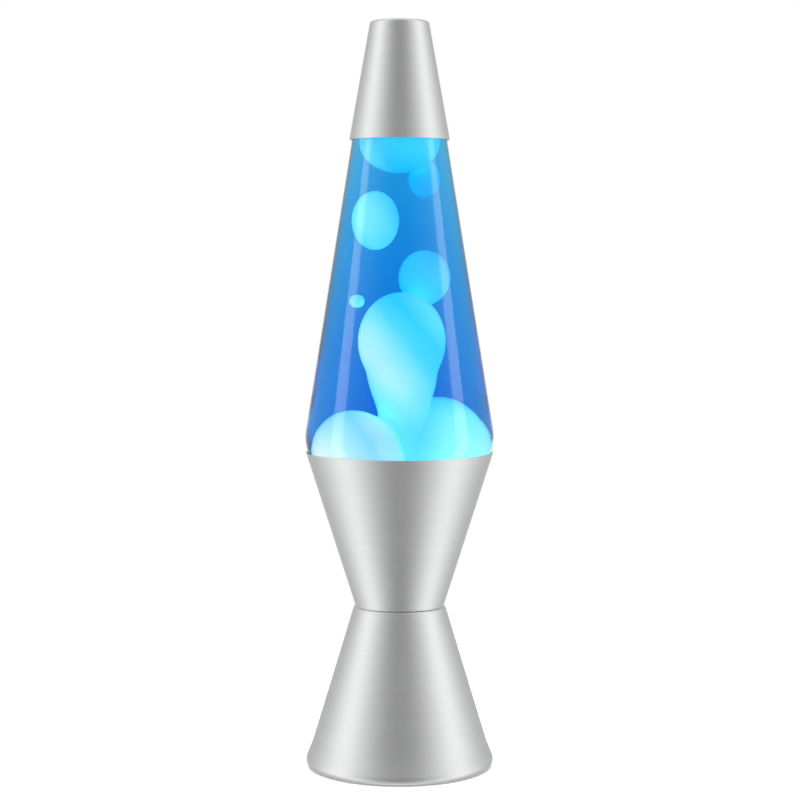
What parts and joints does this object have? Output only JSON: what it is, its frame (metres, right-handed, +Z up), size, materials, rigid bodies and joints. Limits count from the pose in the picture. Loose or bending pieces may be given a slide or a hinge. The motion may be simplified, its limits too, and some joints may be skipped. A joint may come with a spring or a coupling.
{
  "type": "lava lamp",
  "caption": "Tabletop lava lamp: spun aluminium base, cup and lift-off cap round a tapered glass globe of blue liquid and drifting wax, lit by a screw-in reflector bulb.",
  "frame": {"origin": "on the floor under the middle of the base, at the underside of the feet", "axes": "+Z up along the lamp's axis; -Y is the side seen in the picture, and +Y holds the cord gland"},
  "size_m": [0.0934, 0.0934, 0.3683],
  "materials": {
    "spun_aluminium": "satin spun, fine turning lines",
    "clear_glass": "clear, gloss",
    "bulb_glass": "frosted front, gloss",
    "blue_liquid": "clear tinted liquid",
    "glowing_wax": "translucent, waxy gloss",
    "stamped_steel": "zinc plated",
    "brass": "bright turned",
    "black_plastic": "fine moulded grain",
    "black_rubber": "matte",
    "dark_phenolic": "moulded phenolic",
    "lead_sleeve": "PVC insulation",
    "splice_nylon": "natural nylon",
    "nickel_cap": "nickel plated",
    "solder": "dull solder",
    "black_glass": "black vitrite",
    "tungsten": "dark wire",
    "painted_crown": "satin lacquer",
    "liner_foam": "soft liner"
  },
  "bodies": {
    "base": {"base_cone": "spun_aluminium", "globe_cup": "spun_aluminium", "flange_rivets": "stamped_steel", "socket_bracket": "stamped_steel", "lamp_pipe": "stamped_steel", "pipe_washers": "stamped_steel", "pipe_nuts": "brass", "socket_collar": "brass", "socket_screws": "stamped_steel", "socket_body": "dark_phenolic", "socket_shell": "brass", "socket_contact": "brass", "terminal_screws": "brass", "live_lead": "lead_sleeve", "neutral_lead": "lead_sleeve", "splice_caps": "splice_nylon", "bottom_plate": "black_plastic", "rubber_feet": "black_rubber", "cord_gland": "black_plastic", "gland_nut": "black_plastic"},
    "bulb_tip": {"bulb_contact": "solder"},
    "bulb": {"bulb_insulator": "black_glass", "bulb_cap": "nickel_cap", "bulb_glass": "bulb_glass", "bulb_stem": "clear_glass", "bulb_filament": "tungsten", "filament_supports": "tungsten"},
    "globe": {"globe_glass": "clear_glass", "crown_liner": "liner_foam", "crown_cap": "painted_crown", "heating_coil": "stamped_steel", "wax_pool": "glowing_wax", "liquid": "blue_liquid"},
    "top_blob": {"wax_top_blob": "glowing_wax"},
    "upper_blob": {"wax_upper_blob": "glowing_wax"},
    "left_blob": {"wax_left_blob": "glowing_wax"},
    "right_blob": {"wax_right_blob": "glowing_wax"},
    "small_blob": {"wax_small_blob": "glowing_wax"},
    "cap": {"cap": "spun_aluminium"}
  },
  "joints": [
    {"name": "globe_lift", "type": "slide", "parent": "base", "child": "globe", "axis": [0, 0, 1], "range_m": [0, 0.08]},
    {"name": "cap_lift", "type": "slide", "parent": "globe", "child": "cap", "axis": [0, 0, 1], "range_m": [0, 0.06]},
    {"name": "bulb_rise", "type": "slide", "parent": "base", "child": "bulb_tip", "axis": [0, 0, 1], "range_m": [0, 0.01128]},
    {"name": "bulb_turn", "type": "hinge", "parent": "bulb_tip", "child": "bulb", "pos_m": [0, 0, 0.06], "axis": [0, 0, 1], "range_deg": [0, 1440]},
    {"name": "top_blob_drift", "type": "slide", "parent": "globe", "child": "top_blob", "axis": [0, 0, 1], "range_m": [-0.001, 0.003], "deforming": ["liquid"]},
    {"name": "upper_blob_drift", "type": "slide", "parent": "globe", "child": "upper_blob", "axis": [0, 0, 1], "range_m": [-0.012, 0.0005], "deforming": ["liquid"]},
    {"name": "left_blob_drift", "type": "slide", "parent": "globe", "child": "left_blob", "axis": [0, 0, 1], "range_m": [-0.014, 0.008], "deforming": ["liquid"]},
    {"name": "right_blob_drift", "type": "slide", "parent": "globe", "child": "right_blob", "axis": [0, 0, 1], "range_m": [-0.003, 0.012], "deforming": ["liquid"]},
    {"name": "small_blob_drift", "type": "slide", "parent": "globe", "child": "small_blob", "axis": [0, 0, 1], "range_m": [-0.001, 0.006], "deforming": ["liquid"]}
  ],
  "couplings": [
    {"joint": "bulb_rise", "follows": "bulb_turn", "m_per_rad": 0.00044882}
  ]
}
